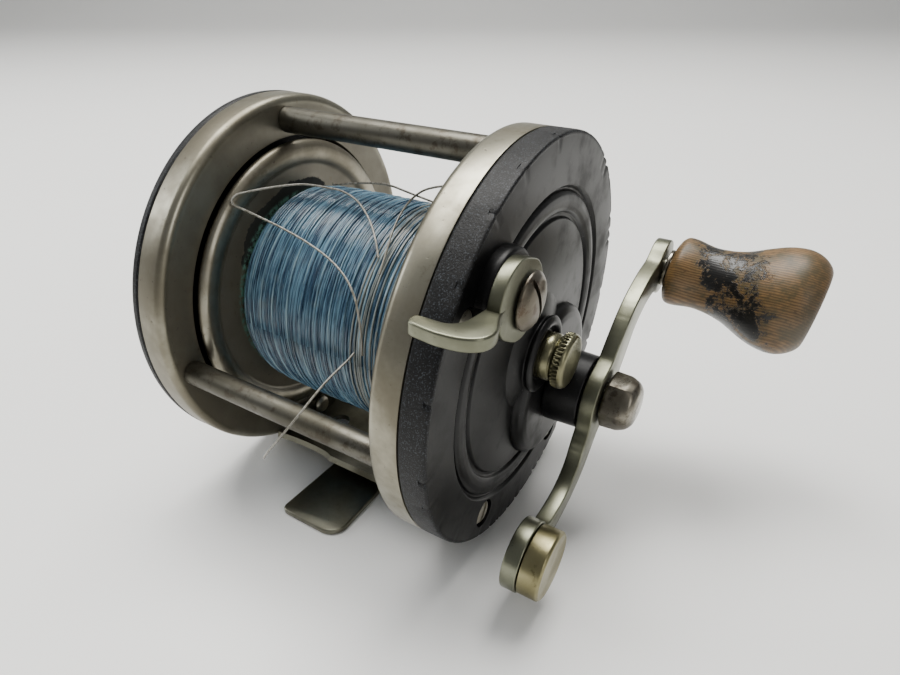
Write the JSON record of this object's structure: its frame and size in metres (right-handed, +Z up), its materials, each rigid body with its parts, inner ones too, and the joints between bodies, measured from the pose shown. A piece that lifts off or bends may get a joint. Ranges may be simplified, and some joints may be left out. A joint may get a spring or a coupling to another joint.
{
  "type": "conventional multiplying fishing reel",
  "caption": "Old revolving-spool sea reel with nickel silver rings, black side plates, an S-shaped crank with a turned wooden grip, a free-spool lever, a wound spool of line and a curved foot.",
  "frame": {"origin": "centre of the flat underside of the foot's blade", "axes": "+X along the spool axis towards the handle, +Y towards the rod tip (the line leaves that way), +Z up from the rod to the spool"},
  "size_m": [0.1184, 0.092, 0.0808],
  "materials": {
    "nickel_silver": "tarnished nickel silver, fine circular scratches",
    "hard_rubber": "dull pitted black moulding",
    "steel": "worn and lightly stained",
    "crank_nickel": "tarnished nickel silver casting",
    "brass": "aged, worn plating",
    "pewter": "dark worn casting, semi-polished",
    "wood": "worn black paint over turned wood",
    "windings": "nylon line, satin",
    "loose_line": "clear weathered nylon line"
  },
  "bodies": {
    "frame": {"head_ring": "nickel_silver", "tail_ring": "nickel_silver", "head_plate": "hard_rubber", "tail_plate": "hard_rubber", "head_plate_screw_1": "steel", "head_plate_screw_2": "steel", "head_plate_screw_3": "steel", "tail_plate_screw_1": "steel", "tail_plate_screw_2": "steel", "tail_plate_screw_3": "steel", "pillar_top": "steel", "pillar_thumb_side": "steel", "pillar_line_side": "steel", "pillar_screw_top": "steel", "pillar_screw_thumb_side": "steel", "pillar_screw_line_side": "steel", "foot": "nickel_silver", "foot_screw_head": "steel", "foot_screw_tail": "steel", "head_bushing": "brass", "tail_bushing": "brass", "gear_bridge": "brass", "bridge_post_1": "brass", "bridge_post_2": "brass", "bridge_post_3": "brass", "yoke_guide_1": "steel", "yoke_guide_2": "steel", "drive_bush": "hard_rubber", "click_spring": "steel", "loose_line_loop": "loose_line", "loose_line_over": "loose_line", "loose_line_arc": "loose_line", "loose_line_tag": "loose_line"},
    "spool": {"spool_shaft": "steel", "spool_arbor": "steel", "spool_flange_head": "nickel_silver", "spool_flange_tail": "nickel_silver", "line_pack": "windings", "clutch_dog": "brass", "click_gear": "brass"},
    "crank": {"drive_shaft": "steel", "drive_gear": "brass", "crank_arm": "crank_nickel", "handle_nut": "pewter", "counterweight": "brass", "counterweight_rivet": "brass", "grip_spindle": "steel"},
    "grip": {"wooden_grip": "wood"},
    "lever": {"free_spool_lever": "crank_nickel", "lever_screw": "brass", "lever_shaft": "steel", "lever_cam": "brass"},
    "yoke": {"yoke": "brass", "yoke_spring_1": "steel", "yoke_spring_2": "steel"},
    "pinion": {"pinion": "brass"},
    "click": {"click_button": "pewter", "click_pawl": "steel"},
    "head_cap": {"head_bearing_cap": "brass"},
    "tail_cap": {"tail_bearing_cap": "brass"}
  },
  "joints": [
    {"name": "crank_turn", "type": "hinge", "parent": "frame", "child": "crank", "pos_m": [0, 0.0095, 0.0291], "axis": [1, 0, 0], "continuous": true},
    {"name": "spool_spin", "type": "hinge", "parent": "frame", "child": "spool", "pos_m": [0, 0, 0.0408], "axis": [1, 0, 0], "continuous": true},
    {"name": "grip_spin", "type": "hinge", "parent": "crank", "child": "grip", "pos_m": [0.0482, 0.0394, 0.0469], "axis": [0.9976, 0, -0.0698], "continuous": true},
    {"name": "lever_swing", "type": "hinge", "parent": "frame", "child": "lever", "pos_m": [0, -0.0194, 0.0613], "axis": [-1, 0, 0], "range_deg": [0, 40]},
    {"name": "yoke_slide", "type": "slide", "parent": "frame", "child": "yoke", "axis": [1, 0, 0], "range_m": [0, 0.0016]},
    {"name": "pinion_spin", "type": "hinge", "parent": "yoke", "child": "pinion", "pos_m": [0, 0, 0.0408], "axis": [1, 0, 0], "continuous": true},
    {"name": "click_slide", "type": "slide", "parent": "frame", "child": "click", "axis": [0, 0.824, 0.5665], "range_m": [0, 0.003]},
    {"name": "head_cap_turn", "type": "hinge", "parent": "frame", "child": "head_cap", "pos_m": [0.0418, 0, 0.0408], "axis": [1, 0, 0], "range_deg": [-90, 90]},
    {"name": "tail_cap_turn", "type": "hinge", "parent": "frame", "child": "tail_cap", "pos_m": [-0.038, 0, 0.0408], "axis": [1, 0, 0], "range_deg": [-90, 90]}
  ],
  "couplings": [
    {"joint": "spool_spin", "follows": "crank_turn", "ratio": -2.5},
    {"joint": "pinion_spin", "follows": "crank_turn", "ratio": -2.5},
    {"joint": "lever_swing", "follows": "yoke_slide", "rad_per_m": 436}
  ]
}
